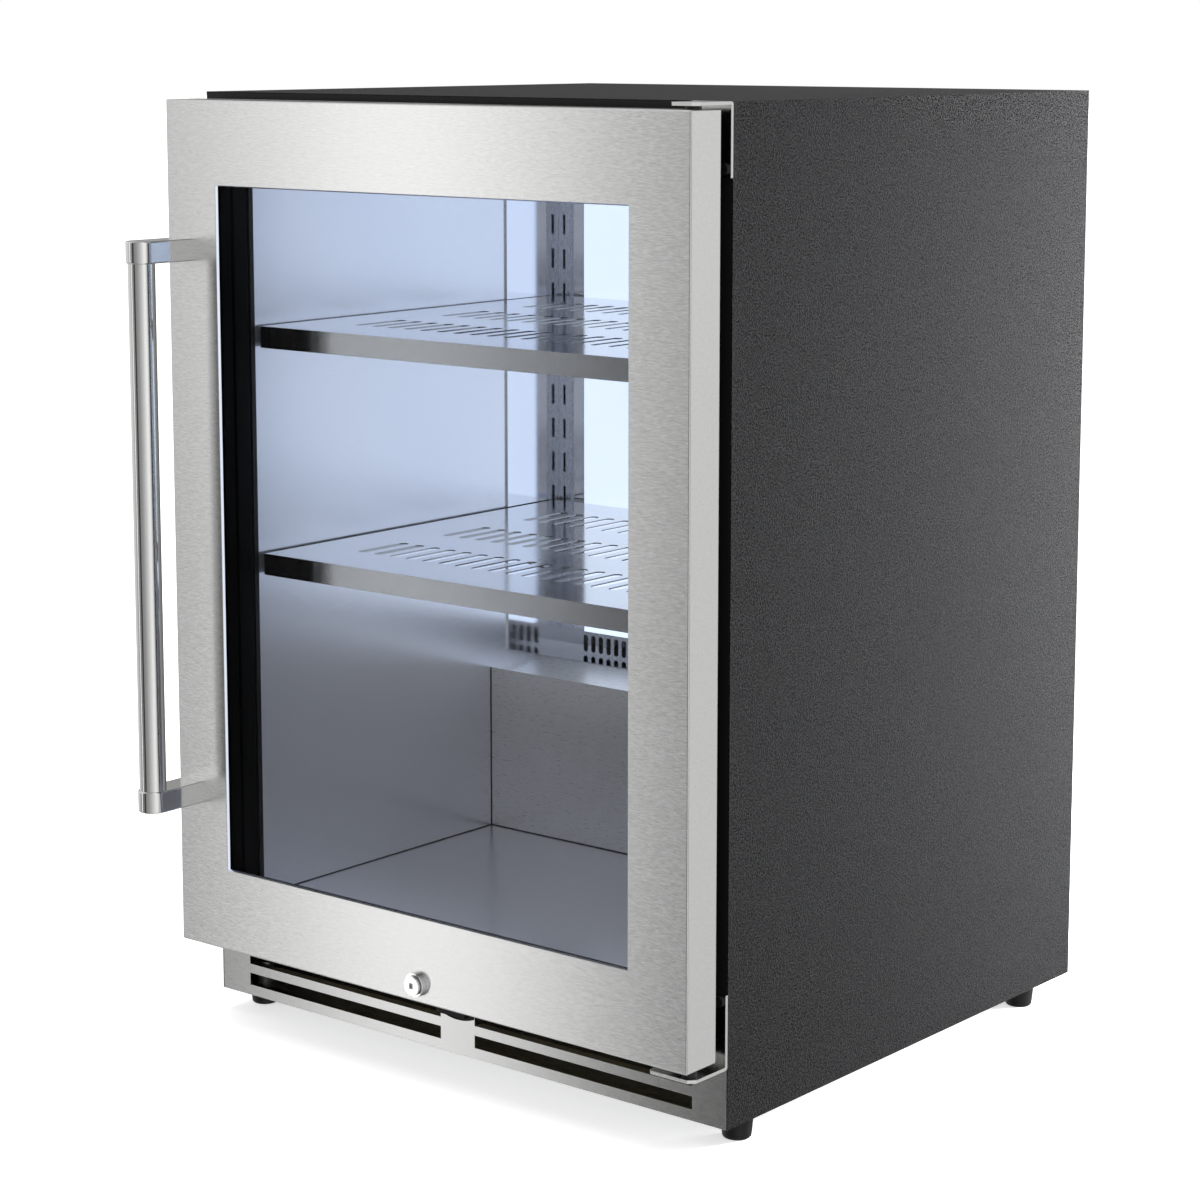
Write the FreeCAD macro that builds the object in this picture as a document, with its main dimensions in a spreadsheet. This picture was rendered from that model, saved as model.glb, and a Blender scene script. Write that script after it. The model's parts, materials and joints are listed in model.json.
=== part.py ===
import FreeCAD, Part

import math
import os
import re

import Sketcher

# Glass-door undercounter refrigerator, millimetres.
# Frame: +Z up, -Y is the front (door side), +X is the hinge side.
# The origin lies on the floor, under the centre of the overall box.

doc = FreeCAD.newDocument("undercounter_refrigerator")
sheet = doc.addObject("Spreadsheet::Sheet", "sizes")
Vector = FreeCAD.Vector

SIZES = {
    # overall
    "width": 606, "height": 876, "cabinet_depth": 555, "foot_gap": 20,
    # door and what stands in front of it
    "door_gap": 14, "door_thick": 39, "handle_reach": 64, "door_half": 301,
    "door_bottom": 82, "door_top": 870, "door_sheet": 1.5,
    "window_half": 238.5, "window_bottom": 159, "window_top": 793.7,
    "sill_drop": 13, "glass_lap": 11, "glass_thick": 4, "glass_setback": 2.5, "glass_space": 12,
    "gasket_half": 264, "gasket_wide": 11, "gasket_bottom": 108, "gasket_top": 841,
    "gasket_clear": 0.4, "skin_round": 1.2,
    # sheet metal cabinet
    "wrap_sheet": 1, "pan_sheet": 1.2, "frame_thick": 5, "grille_top": 72,
    "louvre_inner": 110, "louvre_outer": 270, "louvre_low": 45, "louvre_tall": 6,
    "louvre_pitch": 14, "inlet_half": 15, "inlet_low": 79, "inlet_high": 101,
    "rail_half": 290, "rail_deep": 152, "rail_drop": 8, "rail_sheet": 1.5,
    "bar_start": 16, "bar_end": 60, "bar_half": 300, "sleeve_wall": 4, "sleeve_tall": 20,
    # lined interior
    "inside_half": 250, "inside_floor": 121, "inside_ceiling": 826, "liner_sheet": 1,
    "step_front": 112, "step_top": 287, "duct_front": 221, "liner_back": 282,
    "floor_foam": 44, "step_foam": 39, "pipe_x": 200, "pipe_y": 240, "pipe_hole": 9,
    "control_half": 130, "control_start": 12, "control_deep": 60, "control_tall": 16,
    "display_half": 60,
    # air grille under the door
    "slot_inner": 20.5, "slot_outer": 266, "low_slot": 30, "high_slot": 50.6,
    "slot_tall": 11.6, "grille_sheet": 1.5, "slot_lip": 8,
    "notch_half": 20, "notch_side": 56, "notch_low": 52,
    # shelves and their supports
    "shelf_half": 245, "shelf_front": -212, "shelf_back": 209, "shelf_sheet": 1.2,
    "shelf_lip": 20, "rear_lip": 10, "rear_lip_gap": 20, "upper_shelf": 662, "lower_shelf": 449.3,
    "slot_row": 118, "slot_length": 64, "slot_wide": 10, "slot_pitch": 20.1,
    "pilaster_outer": 248, "pilaster_inner": 231.6, "pilaster_deep": 2.5, "pilaster_sheet": 1,
    "pilaster_pitch": 35.2, "first_slot": 347, "pilaster_slot_tall": 20,
    "pilaster_slot_wide": 4, "slot_column": 240.4, "pilaster_foot": 2,
    "bracket_sheet": 2, "bracket_rear": 77, "bracket_tip": 17, "bracket_knee": 60,
    "bracket_drop": 25, "hook_half": 6,
    # rear wall of the interior
    "panel_half": 213.3, "panel_bottom": 312.5, "panel_thick": 3,
    "vent_bottom": 290.2, "vent_tall": 17.8, "vent_wide": 5.8, "vent_pitch": 10.19,
    "duct_flange": 83.5, "flange_thick": 2, "flange_bottom": 300, "duct_foot": 33,
    # hinges
    "pivot_x": 292, "pivot_y": -257, "pin_radius": 4, "running_clear": 0.05,
    "bracket_thick": 3, "low_arm_inner": 256, "high_arm_inner": 275, "leg_inner": 264,
    "arm_reach": 48, "low_arm_top": 76, "low_leg_top": 138, "high_leg_bottom": 815,
    "bend_radius": 2.5, "arm_corner": 6, "pin_tall": 26, "screw_hole": 2.6, "screw_radius": 2.5,
    "head_radius": 4.8, "head_tall": 2.5, "flange_gap": 0.3, "bushing_wall": 1.6,
    "bushing_tall": 22, "bushing_flange": 6.5, "outer_screw": 296.5, "inner_screw": 273,
    # handle
    "bar_x": -283, "bar_radius": 12.4, "post_half": 14, "post_tall": 20.4, "post_edge": 1.6,
    "low_post": 229, "high_post": 734.6, "bolt_radius": 2.5, "bolt_head": 5, "bolt_sink": 8,
    # lock
    "lock_height": 98.5, "collar_radius": 11, "collar_out": 5, "barrel_radius": 9.4,
    "plug_radius": 6.5, "plug_face": 9, "plug_out": 8, "disc_gap": 1, "cam_thick": 2.5,
    "cam_reach": 34, "cam_hub": 8, "cam_gap": 4, "cam_half": 6,
    "keeper_half": 17, "keeper_foot": 28, "keeper_shelf": 60, "keeper_top": 74,
    "keeper_sheet": 1.5, "keeper_clear": 3.5,
    # levelling feet
    "foot_x": 285, "front_foot": -181, "rear_foot": 274, "foot_radius": 14,
    "foot_tall": 17, "stem_radius": 5, "stem_top": 60,
}

for row, (alias, value) in enumerate(SIZES.items(), start=1):
    sheet.set(f"A{row}", alias)
    sheet.set(f"B{row}", str(value))
    sheet.setAlias(f"B{row}", alias)
doc.recompute()

# Planes that several pieces share, as expressions on the sheet.
FACE = "((handle_reach + door_thick + door_gap - cabinet_depth) / 2)"
REAR = f"({FACE} + cabinet_depth)"
DOOR_BACK = f"({FACE} - door_gap)"
DOOR_FRONT = f"({FACE} - door_gap - door_thick)"
GLASS_FRONT = f"({DOOR_FRONT} + glass_setback)"
GLASS_BACK = f"({GLASS_FRONT} + 2 * glass_thick + glass_space)"
SIDE = "(width / 2 - wrap_sheet)"
FOAM_TOP = "(height - wrap_sheet)"
LINER_FRONT = f"({FACE} + frame_thick)"
BAR_Y = f"({DOOR_FRONT} - handle_reach + post_half)"
CAM_BACK = f"({FACE} - cam_gap)"
PAN_TOP = "(foot_gap + pan_sheet)"
STEP_FOAM_BACK = "(step_front + liner_sheet + step_foam)"
STEP_FOAM_BOTTOM = "(step_top - liner_sheet - step_foam)"

# The same planes as numbers, for the pieces whose shapes are computed.
face_y = (SIZES["handle_reach"] + SIZES["door_thick"] + SIZES["door_gap"]
          - SIZES["cabinet_depth"]) / 2
rear_y = face_y + SIZES["cabinet_depth"]
pan_top = SIZES["foot_gap"] + SIZES["pan_sheet"]

nodes = []


def keep(obj):
    """Name an object as one of the refrigerator's sub-parts."""
    obj.Label = obj.Name
    nodes.append(obj)
    return obj


def bind(obj, prop, text):
    """Tie a property to the sheet: every word in the text is one of its aliases."""
    words = re.sub(r"[a-z][a-z_]+", lambda word: "sizes." + word.group(), str(text))
    obj.setExpression(prop, words)


def place(obj, point):
    for axis, text in zip("xyz", point):
        bind(obj, "Placement.Base." + axis, text)


def box(name, low, high):
    """A block between two corners."""
    obj = doc.addObject("Part::Box", name)
    for prop, lo, hi in zip(("Length", "Width", "Height"), low, high):
        bind(obj, prop, f"({hi}) - ({lo})")
    place(obj, low)
    return obj


TURNS = {
    "x": FreeCAD.Rotation(Vector(0, 1, 0), 90),
    "y": FreeCAD.Rotation(Vector(1, 0, 0), -90),
    "z": FreeCAD.Rotation(),
}


def rod(name, start, radius, length, axis="z"):
    """A cylinder that runs from a point along one axis."""
    obj = doc.addObject("Part::Cylinder", name)
    obj.Placement.Rotation = TURNS[axis]
    bind(obj, "Radius", radius)
    bind(obj, "Height", length)
    place(obj, start)
    return obj


def joined(name, pieces):
    obj = doc.addObject("Part::MultiFuse", name)
    obj.Shapes = pieces
    return obj


def cut(name, base, tools):
    obj = doc.addObject("Part::Cut", name)
    obj.Base = base
    obj.Tool = tools[0] if len(tools) == 1 else joined(name + "_tools", tools)
    return obj


def group(name, pieces):
    """Separate solids that share one node."""
    obj = doc.addObject("Part::Compound", name)
    obj.Links = pieces
    return keep(obj)


def computed(name, shape):
    """A piece whose shape is worked out in code."""
    obj = doc.addObject("Part::Feature", name)
    obj.Shape = shape
    return obj


def origin_item(body, role):
    return next(item for item in body.Origin.OriginFeatures if item.Role == role)


def flat_sketch(body, name, plane, height):
    """A sketch parallel to one of the body's own origin planes."""
    sketch = body.newObject("Sketcher::SketchObject", name)
    sketch.AttachmentSupport = (origin_item(body, plane), [""])
    sketch.MapMode = "FlatFace"
    bind(sketch, "AttachmentOffset.Base.z", height)
    return sketch


def pin_point(sketch, edge, end, point):
    """Fix one end of a sketch edge at a pair of expressions."""
    now = sketch.getPoint(edge, end)
    for kind, start, text in zip(("DistanceX", "DistanceY"), (now.x, now.y), point):
        number = sketch.addConstraint(Sketcher.Constraint(kind, -1, 1, edge, end, start))
        label = f"at{number}"
        sketch.renameConstraint(number, label)
        bind(sketch, "Constraints." + label, text)


def outline(sketch, points):
    """A closed polygon with every corner fixed by the sheet."""
    count = len(points)
    start = [Vector(math.cos(2 * math.pi * i / count), math.sin(2 * math.pi * i / count))
             for i in range(count)]
    edges = [sketch.addGeometry(Part.LineSegment(start[i], start[(i + 1) % count]), False)
             for i in range(count)]
    for i, edge in enumerate(edges):
        after = edges[(i + 1) % count]
        sketch.addConstraint(Sketcher.Constraint("Coincident", edge, 2, after, 1))
        pin_point(sketch, edge, 1, points[i])


def rectangle(sketch, low, high):
    (u0, v0), (u1, v1) = low, high
    outline(sketch, [(u0, v0), (u1, v0), (u1, v1), (u0, v1)])


def round_slot(sketch, middle, low, high, wide):
    """An upright slot with half-round ends, between two heights of the sketch."""
    start, end = f"({low}) + ({wide}) / 2", f"({high}) - ({wide}) / 2"
    left = sketch.addGeometry(Part.LineSegment(Vector(-1, -2), Vector(-1, 2)), False)
    right = sketch.addGeometry(Part.LineSegment(Vector(1, 2), Vector(1, -2)), False)
    for line, x, first, last in ((left, f"({middle}) - ({wide}) / 2", start, end),
                                 (right, f"({middle}) + ({wide}) / 2", end, start)):
        pin_point(sketch, line, 1, (x, first))
        pin_point(sketch, line, 2, (x, last))
    for centre, angle, arc_side in ((2, 0, 2), (-2, math.pi, 1)):
        whole = Part.Circle(Vector(0, centre), Vector(0, 0, 1), 1)
        arc = sketch.addGeometry(Part.ArcOfCircle(whole, angle, angle + math.pi), False)
        other_side = 3 - arc_side
        sketch.addConstraint(Sketcher.Constraint("Tangent", left, arc_side, arc, arc_side))
        sketch.addConstraint(Sketcher.Constraint("Coincident", right, other_side, arc, other_side))


def circle(sketch, centre, radius):
    edge = sketch.addGeometry(Part.Circle(Vector(0, 0), Vector(0, 0, 1), 1), False)
    pin_point(sketch, edge, 3, centre)
    number = sketch.addConstraint(Sketcher.Constraint("Radius", edge, 1.0))
    sketch.renameConstraint(number, f"radius{number}")
    bind(sketch, f"Constraints.radius{number}", radius)


def pad(body, name, plane, low, high, draw):
    """Add material between two heights along the plane's axis."""
    start = f"-({high})" if plane == "XZ_Plane" else low
    sketch = flat_sketch(body, name + "_sketch", plane, start)
    draw(sketch)
    feature = body.newObject("PartDesign::Pad", name)
    feature.Profile = sketch
    bind(feature, "Length", f"({high}) - ({low})")
    return feature


def pocket(body, name, plane, low, high, draw):
    """Take material away between two heights along the plane's axis."""
    start = f"-({low})" if plane == "XZ_Plane" else high
    sketch = flat_sketch(body, name + "_sketch", plane, start)
    draw(sketch)
    feature = body.newObject("PartDesign::Pocket", name)
    feature.Profile = sketch
    bind(feature, "Length", f"({high}) - ({low})")
    return feature


def repeat(body, name, feature, axis, pitch, count):
    """A row of copies of a feature along one of the body's axes."""
    pattern = body.newObject("PartDesign::LinearPattern", name)
    pattern.Originals = [feature]
    pattern.Direction = (origin_item(body, axis), [""])
    pattern.Occurrences = count
    bind(pattern, "Length", f"({pitch}) * {count - 1}")
    body.Tip = pattern
    return pattern


def new_body(name):
    return doc.addObject("PartDesign::Body", name)


def round_edges(body, name, radius, wanted):
    """Fillet the edges of the body's tip that the test picks out."""
    doc.recompute()
    base = body.Tip
    names = [f"Edge{i + 1}" for i, edge in enumerate(base.Shape.Edges) if wanted(edge)]
    fillet = body.newObject("PartDesign::Fillet", name)
    fillet.Base = (base, names)
    bind(fillet, "Radius", radius)
    body.Tip = fillet
    return fillet


# ---------------------------------------------------------------- cabinet shell

def side_panels():
    for name, low, high in (("side_panel_left", "-width / 2", f"-{SIDE}"),
                            ("side_panel_right", SIDE, "width / 2")):
        keep(box(name, (low, FACE, "foot_gap"), (high, REAR, "height")))


def top_panel():
    keep(box("top_panel", (f"-{SIDE}", FACE, FOAM_TOP), (SIDE, REAR, "height")))


LOUVRE_ROWS = 14


def rear_panel():
    """The back sheet, with louvre slots over the machine compartment."""
    body = new_body("rear_panel")
    front = f"{REAR} - wrap_sheet"
    pad(body, "rear_sheet", "XZ_Plane", front, REAR,
        lambda s: rectangle(s, (f"-{SIDE}", PAN_TOP), (SIDE, FOAM_TOP)))
    pocket(body, "inlet_window", "XZ_Plane", front, REAR,
           lambda s: rectangle(s, ("-inlet_half", "inlet_low"), ("inlet_half", "inlet_high")))
    pair = pocket(body, "louvre_pair", "XZ_Plane", front, REAR,
                  lambda s: [rectangle(s, (f"{side}louvre_inner", "louvre_low"),
                                       (f"{side}louvre_outer", "louvre_low + louvre_tall"))
                             for side in ("-", "")])
    repeat(body, "louvre_rows", pair, "Z_Axis", "louvre_pitch", LOUVRE_ROWS)
    keep(body)


FEET = {
    "foot_front_left": ("-foot_x", "front_foot"),
    "foot_front_right": ("foot_x", "front_foot"),
    "foot_rear_left": ("-foot_x", "rear_foot"),
    "foot_rear_right": ("foot_x", "rear_foot"),
}


def base_pan():
    """The bottom sheet that carries the compressor and the feet."""
    sheet_metal = box("base_sheet", (f"-{SIDE}", f"{FACE} + 10", "foot_gap"),
                      (SIDE, REAR, PAN_TOP))
    holes = [rod(f"pan_hole_{name}", (x, y, "foot_gap - 1"), "stem_radius + 1", "4")
             for name, (x, y) in FEET.items()]
    keep(cut("base_pan", sheet_metal, holes))


def base_rails():
    """A channel across the rear, open downwards, and a flat bar across the front."""
    rear_front = f"{REAR} - rail_deep"
    under, low = "foot_gap - rail_sheet", "foot_gap - rail_drop"
    web = box("rail_web", ("-rail_half", rear_front, under), ("rail_half", REAR, "foot_gap"))
    front_flange = box("rail_flange_front", ("-rail_half", rear_front, low),
                       ("rail_half", f"{rear_front} + rail_sheet", "foot_gap"))
    rear_flange = box("rail_flange_rear", ("-rail_half", f"{REAR} - rail_sheet", low),
                      ("rail_half", REAR, "foot_gap"))
    bar = box("front_bar", ("-bar_half", f"{FACE} + bar_start", under),
              ("bar_half", f"{FACE} + bar_end", "foot_gap"))
    rear = joined("rear_channel", [web, front_flange, rear_flange])
    ends = []
    for name, blank, side in (("front_rail", bar, "front"), ("rear_rail", rear, "rear")):
        holes = [rod(f"{name}_{foot}", (x, y, "foot_gap - 3"), "stem_radius + 1", "4")
                 for foot, (x, y) in FEET.items() if side in foot]
        ends.append(cut(name, blank, holes))
    group("base_rails", ends)


def foot_inserts():
    """Threaded sleeves on the base pan that the feet screw into."""
    sleeves = []
    for name, (x, y) in FEET.items():
        outer = rod(f"sleeve_{name}", (x, y, PAN_TOP), "stem_radius + sleeve_wall", "sleeve_tall")
        bore = rod(f"sleeve_bore_{name}", (x, y, "foot_gap"), "stem_radius + running_clear",
                   "sleeve_tall + 4")
        sleeves.append(cut(f"insert_{name}", outer, [bore]))
    group("foot_inserts", sleeves)


def feet():
    """Tapered feet, each on a threaded stem."""
    for name, (x, y) in FEET.items():
        body = new_body(name)
        taper = body.newObject("PartDesign::AdditiveCone", f"{name}_pad")
        bind(taper, "Radius1", "foot_radius - 1.5")
        bind(taper, "Radius2", "foot_radius")
        bind(taper, "Height", "foot_tall")
        stem = body.newObject("PartDesign::AdditiveCylinder", f"{name}_stem")
        bind(stem, "Radius", "stem_radius")
        bind(stem, "Height", "stem_top - foot_tall + 1")
        bind(stem, "AttachmentOffset.Base.z", "foot_tall - 1")
        body.Tip = stem
        round_edges(body, f"{name}_rim", "3", lambda edge: edge.BoundBox.ZMax < 0.01
                    and edge.Length > 20)
        place(body, (x, y, "0"))
        keep(body)


HINGE_SCREWS = {"low_inner": ("inner_screw", "98"), "low_outer": ("outer_screw", "132"),
                "high_outer": ("outer_screw", "822"), "high_inner": ("inner_screw", "856")}


def front_frame():
    """Four strips that close the foam around the opening."""
    jambs = [box(f"jamb_{side}", (low, FACE, "grille_top"), (high, LINER_FRONT, FOAM_TOP))
             for side, low, high in (("left", f"-{SIDE}", "-inside_half"),
                                     ("right", "inside_half", SIDE))]
    holes = [rod(f"jamb_hole_{name}", (x, f"{FACE} - 1", z), "screw_hole", "frame_thick + 2", "y")
             for name, (x, z) in HINGE_SCREWS.items()]
    drilled = cut("jamb_right_drilled", jambs[1], holes)
    header = box("header", ("-inside_half", FACE, "inside_ceiling"),
                 ("inside_half", LINER_FRONT, FOAM_TOP))
    sill = box("sill", ("-inside_half", FACE, "grille_top"),
               ("inside_half", LINER_FRONT, "inside_floor"))
    group("front_frame", [jambs[0], drilled, header, sill])


def notch(sketch):
    """A shallow dished opening at the middle of the grille's top edge."""
    left, right = Vector(-20, 56), Vector(20, 56)
    arc = sketch.addGeometry(Part.Arc(left, Vector(0, 52), right), False)
    start, end = (1, 2) if sketch.getPoint(arc, 1).x < 0 else (2, 1)
    above = "grille_top + 5"
    low_left, low_right = ("-notch_half", "notch_side"), ("notch_half", "notch_side")
    corners = [(right, Vector(20, 77), low_right), (Vector(20, 77), Vector(-20, 77),
               ("notch_half", above)), (Vector(-20, 77), left, ("-notch_half", above))]
    edges = []
    for tail, head, fixed in corners:
        edge = sketch.addGeometry(Part.LineSegment(tail, head), False)
        pin_point(sketch, edge, 1, fixed)
        edges.append(edge)
    for first, second in zip(edges, edges[1:]):
        sketch.addConstraint(Sketcher.Constraint("Coincident", first, 2, second, 1))
    sketch.addConstraint(Sketcher.Constraint("Coincident", arc, end, edges[0], 1))
    sketch.addConstraint(Sketcher.Constraint("Coincident", arc, start, edges[2], 2))
    pin_point(sketch, arc, start, low_left)
    rise = "(notch_side - notch_low)"
    number = sketch.addConstraint(Sketcher.Constraint("Radius", arc, 52.0))
    sketch.renameConstraint(number, "dish")
    bind(sketch, "Constraints.dish",
         f"(notch_half * notch_half + {rise} * {rise}) / (2 * {rise})")


def kick_grille():
    """The plate under the door, with two long air slots on each side of the lock notch."""
    body = new_body("kick_grille")
    back = f"{FACE} + grille_sheet"
    pad(body, "grille_plate", "XZ_Plane", FACE, back,
        lambda s: rectangle(s, (f"-{SIDE}", "foot_gap"), (SIDE, "grille_top")))
    lips = [(z, side) for z in ("low_slot", "high_slot") for side in ("", "-")]

    def slots(sketch):
        for z, side in lips:
            rectangle(sketch, (f"{side}slot_inner", z), (f"{side}slot_outer", f"{z} + slot_tall"))

    pocket(body, "air_slots", "XZ_Plane", FACE, back, slots)

    def lip_lines(sketch):
        for z, side in lips:
            rectangle(sketch, (f"{side}slot_inner", f"{z} - grille_sheet"),
                      (f"{side}slot_outer", z))

    pad(body, "slot_lips", "XZ_Plane", back, f"{back} + slot_lip", lip_lines)
    pocket(body, "lock_notch", "XZ_Plane", FACE, back, notch)
    keep(body)


# ---------------------------------------------------------------- interior

def liners():
    """The folded steel sheets that line the storage space."""
    for name, low, high in (("liner_left", "-inside_half - liner_sheet", "-inside_half"),
                            ("liner_right", "inside_half", "inside_half + liner_sheet")):
        keep(box(name, (low, LINER_FRONT, "inside_floor - liner_sheet"),
                 (high, "liner_back", "inside_ceiling + liner_sheet")))
    keep(box("liner_ceiling", ("-inside_half", LINER_FRONT, "inside_ceiling"),
             ("inside_half", "liner_back", "inside_ceiling + liner_sheet")))
    keep(box("liner_floor", ("-inside_half", LINER_FRONT, "inside_floor - liner_sheet"),
             ("inside_half", "step_front + liner_sheet", "inside_floor")))
    keep(box("liner_rear", ("-inside_half", "liner_back", "step_top"),
             ("inside_half", "liner_back + liner_sheet", "inside_ceiling + liner_sheet")))


def liner_step():
    """The raised step over the machine compartment: a riser and a tread."""
    body = new_body("liner_step")
    pad(body, "step_sheet", "YZ_Plane", "-inside_half", "inside_half",
        lambda s: outline(s, [
            ("step_front", "inside_floor"), ("step_front + liner_sheet", "inside_floor"),
            ("step_front + liner_sheet", "step_top - liner_sheet"),
            ("liner_back", "step_top - liner_sheet"), ("liner_back", "step_top"),
            ("step_front", "step_top")]))
    pocket(body, "step_pipe_hole", "XY_Plane", "step_top - 5", "step_top + 1",
           lambda s: circle(s, ("pipe_x", "pipe_y"), "pipe_hole"))
    keep(body)


def insulation():
    """Foam between the outer sheets and the liner."""
    bottom = "inside_floor - liner_sheet - floor_foam"
    back = f"{REAR} - wrap_sheet"
    sides = [box(f"foam_{side}", (low, LINER_FRONT, bottom), (high, back, FOAM_TOP))
             for side, low, high in (
                 ("left", f"-{SIDE}", "-inside_half - liner_sheet"),
                 ("right", "inside_half + liner_sheet", SIDE))]
    group("insulation_sides", sides)
    keep(box("insulation_top", ("-inside_half", LINER_FRONT, "inside_ceiling + liner_sheet"),
             ("inside_half", back, FOAM_TOP)))
    keep(box("insulation_rear", ("-inside_half", "liner_back + liner_sheet", STEP_FOAM_BOTTOM),
             ("inside_half", back, "inside_ceiling + liner_sheet")))
    body = new_body("insulation_floor")
    pad(body, "floor_foam_block", "YZ_Plane", "-inside_half", "inside_half",
        lambda s: outline(s, [
            (LINER_FRONT, bottom), (STEP_FOAM_BACK, bottom),
            (STEP_FOAM_BACK, STEP_FOAM_BOTTOM), ("liner_back + liner_sheet", STEP_FOAM_BOTTOM),
            ("liner_back + liner_sheet", "step_top - liner_sheet"),
            ("step_front + liner_sheet", "step_top - liner_sheet"),
            ("step_front + liner_sheet", "inside_floor - liner_sheet"),
            (LINER_FRONT, "inside_floor - liner_sheet")]))
    pocket(body, "foam_pipe_hole", "XY_Plane", f"{STEP_FOAM_BOTTOM} - 1", "step_top",
           lambda s: circle(s, ("pipe_x", "pipe_y"), "pipe_hole"))
    keep(body)


VENT_COUNT = 43


def duct_panel():
    """The cover in front of the evaporator: return-air slots at its foot, a flange along
    each side wall and a foot flange on the step."""
    body = new_body("duct_panel")
    back = "duct_front + pan_sheet"
    pad(body, "duct_sheet", "XZ_Plane", "duct_front", back,
        lambda s: rectangle(s, ("-inside_half", "step_top"), ("inside_half", "inside_ceiling")))
    pad(body, "duct_foot_flange", "XY_Plane", "step_top", "step_top + pan_sheet",
        lambda s: rectangle(s, ("-inside_half", "duct_front - duct_foot"),
                            ("inside_half", "duct_front")))
    for side, low, high in (("left", "-inside_half", "-inside_half + flange_thick"),
                            ("right", "inside_half - flange_thick", "inside_half")):
        pad(body, f"duct_flange_{side}", "YZ_Plane", low, high,
            lambda s: outline(s, [("duct_front - duct_flange", "flange_bottom"),
                                  ("duct_front - duct_foot", "step_top + pan_sheet"),
                                  ("duct_front", "step_top + pan_sheet"),
                                  ("duct_front", "inside_ceiling"),
                                  ("duct_front - duct_flange", "inside_ceiling")]))
    first = f"-vent_pitch * {(VENT_COUNT - 1) / 2}"
    vent = pocket(body, "duct_vent", "XZ_Plane", "duct_front", back,
                  lambda s: round_slot(s, first, "vent_bottom", "vent_bottom + vent_tall",
                                       "vent_wide"))
    repeat(body, "duct_vents", vent, "X_Axis", "vent_pitch", VENT_COUNT)
    keep(body)


def light_panel():
    """The lit diffuser that covers the middle of the rear wall."""
    keep(box("light_panel", ("-panel_half", "duct_front - panel_thick", "panel_bottom"),
             ("panel_half", "duct_front", "inside_ceiling - 4")))


PILASTER_SLOTS = 14


def pilasters():
    """Two slotted channels in the rear corners that the shelf brackets hook into."""
    front = "duct_front - pilaster_deep"
    wall = "pilaster_sheet"
    channels = []
    for side in ("left", "right"):
        sign = "-" if side == "left" else ""
        body = new_body(f"pilaster_{side}")
        outer, inner = f"{sign}pilaster_outer", f"{sign}pilaster_inner"
        step = f"{'' if side == 'left' else '-'}{wall}"
        bottom, top = "panel_bottom", "inside_ceiling - pilaster_foot"
        right_of_outer, left_of_inner = f"{outer} + ({step})", f"{inner} - ({step})"
        web_back = f"{front} + {wall}"
        pad(body, f"channel_{side}", "XY_Plane", bottom, top,
            lambda s: outline(s, [
                (outer, "duct_front"), (outer, front), (inner, front), (inner, "duct_front"),
                (left_of_inner, "duct_front"), (left_of_inner, web_back),
                (right_of_outer, web_back), (right_of_outer, "duct_front")]))

        hook_slot = pocket(body, f"hook_slot_{side}", "XZ_Plane", front, web_back,
                           lambda s: rectangle(
                               s, (f"{sign}slot_column - pilaster_slot_wide / 2",
                                   "first_slot - pilaster_slot_tall / 2"),
                               (f"{sign}slot_column + pilaster_slot_wide / 2",
                                "first_slot + pilaster_slot_tall / 2")))
        repeat(body, f"hook_slots_{side}", hook_slot, "Z_Axis", "pilaster_pitch", PILASTER_SLOTS)
        channels.append(body)
    group("pilasters", channels)


# each shelf's top, and the two pilaster slots that its arms hook into
SHELVES = {"shelf_upper": ("upper_shelf", (7, 8)), "shelf_lower": ("lower_shelf", (1, 2))}
SHELF_COLUMNS = 19


def shelf(name, top):
    """A folded shelf with three rows of slots and a lip on every side."""
    body = new_body(name)
    under = f"{top} - shelf_sheet"
    pad(body, f"{name}_sheet", "XY_Plane", under, top,
        lambda s: rectangle(s, ("-shelf_half", "shelf_front"), ("shelf_half", "shelf_back")))
    pad(body, f"{name}_front_lip", "XZ_Plane", "shelf_front", "shelf_front + shelf_sheet",
        lambda s: rectangle(s, ("-shelf_half", f"{top} - shelf_lip"), ("shelf_half", under)))
    pad(body, f"{name}_rear_lip", "XZ_Plane", "shelf_back - shelf_sheet", "shelf_back",
        lambda s: rectangle(s, ("-shelf_half + rear_lip_gap", f"{top} - rear_lip"),
                            ("shelf_half - rear_lip_gap", under)))
    for side, low, high in (("left", "-shelf_half", "-shelf_half + shelf_sheet"),
                            ("right", "shelf_half - shelf_sheet", "shelf_half")):
        pad(body, f"{name}_{side}_lip", "YZ_Plane", low, high,
            lambda s: rectangle(s, ("shelf_front", f"{top} - shelf_lip"), ("shelf_back", under)))
    first = f"-slot_pitch * {(SHELF_COLUMNS - 1) / 2}"

    def rows(sketch):
        for row in (-1, 0, 1):
            middle = f"slot_row * ({row})"
            round_slot(sketch, first, f"{middle} - slot_length / 2", f"{middle} + slot_length / 2",
                       "slot_wide")

    slots = pocket(body, f"{name}_slot", "XY_Plane", under, top, rows)
    repeat(body, f"{name}_slots", slots, "X_Axis", "slot_pitch", SHELF_COLUMNS)
    keep(body)


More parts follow.
